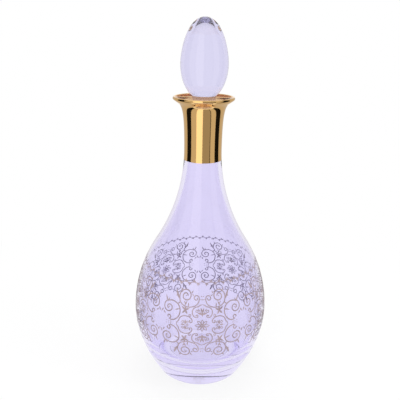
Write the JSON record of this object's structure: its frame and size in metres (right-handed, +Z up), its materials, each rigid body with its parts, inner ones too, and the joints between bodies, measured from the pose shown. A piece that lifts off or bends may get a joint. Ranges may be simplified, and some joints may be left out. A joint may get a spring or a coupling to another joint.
{
  "type": "stoppered decanter",
  "caption": "Pear-shaped glass decanter with a gilded flared neck, a fired gold filigree band and a lift-off egg stopper.",
  "frame": {"origin": "centre of the foot, on the table", "axes": "+Z up the axis of the bottle towards the stopper, -Y towards the viewer, through the middle of one rosette"},
  "size_m": [0.1218, 0.1218, 0.32],
  "materials": {
    "bottle_glass": "clear, pale lavender, fire polished",
    "stopper_glass": "clear, pale lavender, polished",
    "bright_gold": "mirror-bright fired gold",
    "print_gold": "matt fired gold enamel",
    "seal_plastic": "soft translucent plastic"
  },
  "bodies": {
    "bottle": {"bottle": "bottle_glass", "neck_gilding": "bright_gold", "lobed_frames": "print_gold", "rosettes": "print_gold", "palmettes": "print_gold", "corner_leaves": "print_gold", "c_scrolls": "print_gold", "horn_scrolls": "print_gold", "link_scrolls": "print_gold", "leaf_border": "print_gold"},
    "seal": {"stopper_seal": "seal_plastic"},
    "stopper": {"stopper": "stopper_glass"}
  },
  "joints": [
    {"name": "stopper_lift", "type": "slide", "parent": "bottle", "child": "seal", "axis": [0, 0, 1], "range_m": [0, 0.06]},
    {"name": "stopper_turn", "type": "hinge", "parent": "seal", "child": "stopper", "pos_m": [0, 0, 0.24], "axis": [0, 0, 1], "continuous": true}
  ]
}
